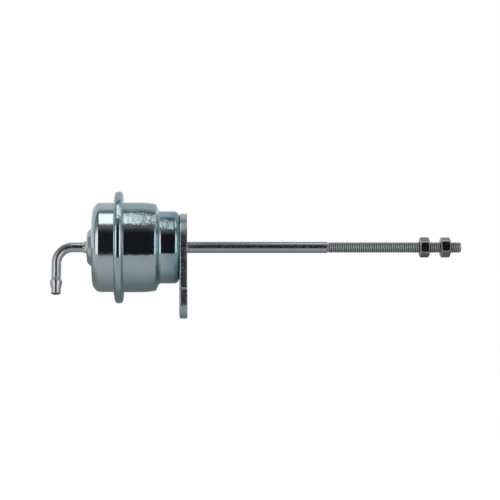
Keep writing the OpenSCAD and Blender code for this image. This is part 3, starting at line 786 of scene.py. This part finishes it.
def forged_nut(back_x, turn, steps=72):
    """Hexagon with both ends chamfered on a cone, and an internal thread with countersinks. The two
    end faces between them are still open."""
    front_x = back_x + nut_t
    bore_r, groove, sink, flare = 3.0, 0.5, 0.5, 0.35
    outline = hex_outline()
    outline += outline[:1]
    arcs = [(edge_round * (chamfer_slope - math.sin(math.radians(a))),
             edge_round * (1 - math.cos(math.radians(a)))) for a in (60, 45, 30, 15, 0)]
    half = [[(0, face_r, a) for _, a in outline]]
    half += [
        [((r - face_r) * chamfer_slope + along, r - fall, a) for r, a in outline] for along, fall in arcs
    ]
    half += [[(x + 0.25, r, a) for x, r, a in half[-1]]]
    half += [[(x + (nut_t / 2 - x) * k / 3, r, a) for x, r, a in half[-1]] for k in (1, 2, 3)]
    other_half = [[(nut_t - x, r, a) for x, r, a in row] for row in half[:-1]][::-1]
    turned_by = math.radians(turn)
    outer = rows_to_mesh([[(back_x + x, r, a + turned_by) for x, r, a in row] for row in half + other_half])

    def mouth(x):
        """Narrowest radius at x, which is that of the cone at each end."""
        inside = min(x - back_x, front_x - x)
        return bore_r + flare - inside * flare / sink if inside < sink else 0

    return joined(outer, rows_to_mesh(thread_skin(back_x, front_x, bore_r, -groove, steps, mouth)))


def nut_piece(name, back_x, turn):
    """Nut with its two end faces closed and its edges marked for a painted highlight."""
    shape = welded(*forged_nut(back_x, turn))
    for x in (back_x, back_x + nut_t):
        rim = [e for e in shape.edges if e.is_boundary and all(abs(v.co.x - x * mm) < 1e-6 for v in e.verts)]
        bmesh.ops.triangle_fill(shape, edges=rim, use_beauty=True)

    # The pale mark is a painted highlight on the rounded edges, weaker on the lower corners and on the front.
    def painted_edge_highlight(x, y, z):
        """1 on the rounded edges, where the mark's pale colour is a painted highlight, and less on the
        corners below and on the front."""
        corner_from_r, corner_fade, highlight_below, highlight_in_front = 5.36, 0.06, 0.3, 0.25
        rim_middle, rim_half = 0.08, 0.16
        radius = math.hypot(y, z)
        end = min(x - back_x, back_x + nut_t - x) - (radius - face_r) * chamfer_slope
        corner = min(1, max(0, (radius - corner_from_r) / corner_fade)) * (1 if z > 0 else highlight_below)
        rim_highlight = 1 if x < back_x + nut_t / 2 else highlight_in_front
        on_rim = abs(end - rim_middle) < rim_half and radius > face_r + 0.1
        return max(corner, rim_highlight if on_rim else 0)

    return make_piece(name, *points_and_faces(shape), nut_steel, sharp=24, mark=painted_edge_highlight)


# The mark colour is a painted highlight on the nuts' rounded edges.
nut_steel = metal(
    "nut_steel",
    {"Color": (0.40, 0.37, 0.34, 1), "Film Color": (0.30, 0.28, 0.26, 1), "Film Amount": 0.7,
     "Roughness": 0.2, "Peel Size": 1200.0, "Peel Depth": 0.5, "Grain Size": 4000.0, "Grain Depth": 0.3},
    bump=0.4, mark=(0.68, 0.65, 0.61, 1),
)
for name, node, body, back_x, turn in (
    ("inner_nut_forged", "inner_nut", "inner_nut_body", 123.9, 0),
    ("outer_nut_forged", "outer_nut", "outer_nut_body", 135.1, 9),
):
    nut = nut_piece(name, back_x, turn)
    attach(nut, body)
    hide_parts(node)

# Return spring: oil-tempered wire wound in seven turns, with a closed turn at each end. It
# stands between the piston cup and the spring seat.

wire_r, coil_r, coil_turns = 1.3, 14.6, 7
coil_back, coil_front, closed_pitch = -44.25, -7.15, 2.65


def build_spring_tree(material):
    """Wire along a helix whose pitch is closed over the first and the last turn."""
    wire_steps, ring_steps = 72, 20
    sizes = (("Coil Radius", 0.01), ("Wire Radius", 0.001), ("Turns", 7.0), ("Back", 0.0),
             ("Front", 0.04), ("Closed Pitch", 0.003))
    group, given, result = new_group(
        "wound_spring", [(label, "NodeSocketFloat", value) for label, value in sizes],
        [("Geometry", "NodeSocketGeometry")], "GeometryNodeTree",
    )
    line = group.nodes.new("GeometryNodeCurvePrimitiveLine")
    fine = group.nodes.new("GeometryNodeResampleCurve")
    fine.inputs["Count"].default_value = coil_turns * wire_steps + 1
    share = group.nodes.new("GeometryNodeSplineParameter").outputs["Factor"]
    turn = math_node(group, "MULTIPLY", share, given["Turns"])
    angle = math_node(group, "MULTIPLY", turn, 2 * math.pi)
    last = math_node(group, "SUBTRACT", given["Turns"], 1.0)
    near_back = math_node(group, "MINIMUM", turn, 1.0)
    near_front = math_node(group, "MAXIMUM", math_node(group, "SUBTRACT", turn, last), 0.0)
    between = math_node(group, "SUBTRACT", math_node(group, "SUBTRACT", turn, near_back), near_front)
    whole = math_node(group, "SUBTRACT", given["Front"], given["Back"])
    closed = math_node(group, "MULTIPLY", given["Closed Pitch"], 2.0)
    open_len = math_node(group, "SUBTRACT", whole, closed)
    open_pitch = math_node(group, "DIVIDE", open_len, math_node(group, "SUBTRACT", last, 1.0))
    near_ends = math_node(group, "ADD", near_back, near_front)
    closed_part = math_node(group, "MULTIPLY", near_ends, given["Closed Pitch"])
    open_part = math_node(group, "MULTIPLY", between, open_pitch)
    along = math_node(group, "ADD", given["Back"], math_node(group, "ADD", closed_part, open_part))
    place = group.nodes.new("ShaderNodeCombineXYZ")
    group.links.new(along, place.inputs["X"])
    for axis, operation in (("Y", "COSINE"), ("Z", "SINE")):
        swing = math_node(group, "MULTIPLY", math_node(group, operation, angle), given["Coil Radius"])
        group.links.new(swing, place.inputs[axis])
    moved = group.nodes.new("GeometryNodeSetPosition")
    circle = group.nodes.new("GeometryNodeCurvePrimitiveCircle")
    circle.inputs["Resolution"].default_value = ring_steps
    group.links.new(given["Wire Radius"], circle.inputs["Radius"])
    swept = group.nodes.new("GeometryNodeCurveToMesh")
    swept.inputs["Fill Caps"].default_value = True
    smooth = group.nodes.new("GeometryNodeSetShadeSmooth")
    real = group.nodes.new("GeometryNodeRealizeInstances")
    painted = group.nodes.new("GeometryNodeSetMaterial")
    painted.inputs["Material"].default_value = material
    group.links.new(line.outputs["Curve"], fine.inputs["Curve"])
    group.links.new(fine.outputs["Curve"], moved.inputs["Geometry"])
    group.links.new(place.outputs["Vector"], moved.inputs["Position"])
    group.links.new(moved.outputs["Geometry"], swept.inputs["Curve"])
    group.links.new(circle.outputs["Curve"], swept.inputs["Profile Curve"])
    group.links.new(swept.outputs["Mesh"], smooth.inputs[0])
    group.links.new(smooth.outputs[0], real.inputs["Geometry"])
    group.links.new(real.outputs["Geometry"], painted.inputs["Geometry"])
    group.links.new(painted.outputs["Geometry"], result["Geometry"])
    return group


def grown(name, group, values):
    """Plain mesh piece that a Geometry Nodes tree makes from named sizes."""
    holder = bpy.data.objects.new(name, bpy.data.meshes.new(name + "_start"))
    bpy.context.collection.objects.link(holder)
    modifier = holder.modifiers.new("shape", "NODES")
    modifier.node_group = group
    for item in group.interface.items_tree:
        if item.item_type == "SOCKET" and item.in_out == "INPUT" and item.name in values:
            modifier[item.identifier] = values[item.name]
    bpy.context.view_layer.update()
    done = holder.evaluated_get(bpy.context.evaluated_depsgraph_get())
    mesh = bpy.data.meshes.new_from_object(done)
    mesh.name = name
    holder.modifiers.clear()
    holder.data = mesh
    return holder


spring_steel = metal(
    "spring_steel",
    {"Color": (0.40, 0.41, 0.43, 1), "Film Color": (0.22, 0.23, 0.26, 1), "Film Amount": 0.6,
     "Roughness": 0.32, "Peel Size": 900.0, "Peel Depth": 0.3, "Grain Size": 4000.0, "Grain Depth": 0.3},
)
spring = grown(
    "return_spring_wound", build_spring_tree(spring_steel),
    {"Coil Radius": coil_r * mm, "Wire Radius": wire_r * mm, "Turns": float(coil_turns),
     "Back": coil_back * mm, "Front": coil_front * mm, "Closed Pitch": closed_pitch * mm},
)
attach(spring, "can")
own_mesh(spring)
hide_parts("return_spring")

# Piston: a cup drawn from 1 mm sheet on the spring side of the diaphragm, the slotted retainer
# plate on its other side, and a turned washer under the rod's shoulder, all riveted together.

hidden_steps = 128
spigot_hole_r = 2.29


def lathe(name, section, material, body, node):
    """Turned piece that rides on a body in place of a node."""
    piece = make_piece(name, *turned(section, hidden_steps), material)
    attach(piece, body)
    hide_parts(node)
    return piece


def ring_section(inner_r, outer_r, x_from, x_to, edge):
    """Closed section of a ring with its outer corners rounded."""
    return run([(x_from, inner_r), (x_from, outer_r, edge), (x_to, outer_r, edge), (x_to, inner_r)])


turned_steel = metal(
    "turned_steel",
    {"Color": (0.55, 0.54, 0.52, 1), "Film Color": (0.40, 0.38, 0.36, 1), "Film Amount": 0.5,
     "Roughness": 0.28, "Peel Size": 1500.0, "Peel Depth": 0.3, "Grain Size": 4500.0, "Grain Depth": 0.4},
)
cup_path = [(-46.1, spigot_hole_r), (-46.1, 17.0, 1.5), (-35.6, 17.0)]
lathe("piston_cup_drawn", sheet(cup_path, sheet_t), drawn_zinc, "push_rod", "piston_cup")
lathe("backing_washer_turned", ring_section(spigot_hole_r, 8.0, -45.6, -44.1, 0.3), turned_steel,
      "push_rod", "backing_washer")
bpy.data.objects["retainer_plate"].material_slots[0].material = drawn_zinc

# Diaphragm: moulded rubber on a cloth. Its middle is clamped on the piston, its wall rolls
# between the cup and the shell, and its rim is held in the rolled seam.

black_rubber, rubber_shader, rubber_skin, _ = skinned(
    "black_rubber",
    {"Color": (0.030, 0.030, 0.032, 1), "Film Color": (0.055, 0.054, 0.052, 1), "Film Amount": 0.6,
     "Roughness": 0.55, "Peel Size": 1800.0, "Peel Depth": 0.6},
    bump=0.4, distance=0.03,
)
black_rubber.node_tree.links.new(rubber_skin.outputs["Color"], rubber_shader.inputs["Base Color"])
rubber_t, roll_x, roll_round = 1.0, -31.2, 1.76
inner_wall_r, roll_mid_r, outer_wall_r = 18.3, 20.15, 22.0
roll_path = [
    (-47.1, spigot_hole_r), (-47.1, inner_wall_r, 2.3), (roll_x, inner_wall_r, roll_round),
    (roll_x, roll_mid_r),
]
rolled = make_piece("diaphragm_rolled", *turned(sheet(roll_path, rubber_t), hidden_steps), black_rubber)
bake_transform(rolled)
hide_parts("diaphragm")


def rim_front(radius):
    """Where the rim meets the shell's side of the bead."""
    return bead_x + bead_half(radius, shell_root) - sheet_t - seam_gap


def rim_back(radius):
    """Where the rim meets the cover's flange."""
    return bead_x - bead_half(radius) + 2 * sheet_t + 2 * seam_gap


outer_path = [
    (roll_x, roll_mid_r), (roll_x, outer_wall_r, roll_round), (-35.4, outer_wall_r, 1.0), (-35.4, 25.5),
]
back_side, front_side = (
    [p for p in run(beside(outer_path, side * rubber_t / 2)) if p.y < lip_r] for side in (1, -1)
)
held_rim = [Vector((rim_front(lip_r), lip_r)), Vector((rim_front(flange_r), flange_r)),
            Vector((rim_back(flange_r), flange_r)), Vector((rim_back(lip_r), lip_r))]
rim_section = front_side + held_rim + back_side[::-1]
lathe("diaphragm_rim", rim_section, black_rubber, "can", "diaphragm")

# Rod guide: a spring seat with a collar, a flanged bronze bush for the rod and the pressed cap
# that holds it, and in the plate's hole a rubber wiper behind a staked steel washer.

bush_bronze = metal(
    "bush_bronze",
    {"Color": (0.72, 0.47, 0.22, 1), "Film Color": (0.48, 0.30, 0.15, 1), "Film Amount": 0.6,
     "Roughness": 0.3, "Peel Size": 1600.0, "Peel Depth": 0.5, "Grain Size": 5000.0, "Grain Depth": 0.5},
    bump=0.5,
)
pressed_t, bush_r, bush_bore_r = 0.8, 5.0, 3.04
seat_path = [(-9.0, 12.4), (-5.4, 12.4, 1.0), (-5.4, 15.9)]
holder_path = [(-6.9, bush_hole_r), (-6.9, 7.04, 0.5), (-5.4, 7.04, 0.5), (-5.4, 11.85)]
bush_path = [
    (-11.5, bush_bore_r), (-11.5, bush_r, 0.5), (-6.5, bush_r), (-6.5, 6.6, 0.3), (-5.0, 6.6),
    (-5.0, bush_r), (-4.0, bush_r), (-4.0, bush_bore_r),
]
seal_section = ring_section(bush_bore_r, 6.5, -4.0, -2.0, 0.4)
washer_section = ring_section(3.4, 7.26, -2.0, -1.0, 0.2)
lathe("spring_seat_pressed", sheet(seat_path, pressed_t), drawn_zinc, "can", "spring_seat")
lathe("bush_holder_pressed", sheet(holder_path, pressed_t), drawn_zinc, "can", "bush_holder")
lathe("guide_bush_turned", run(bush_path), bush_bronze, "can", "guide_bush")
lathe("rod_seal_moulded", seal_section, black_rubber, "can", "rod_seal")
lathe("seal_washer_staked", washer_section, punched_zinc, "can", "seal_washer")
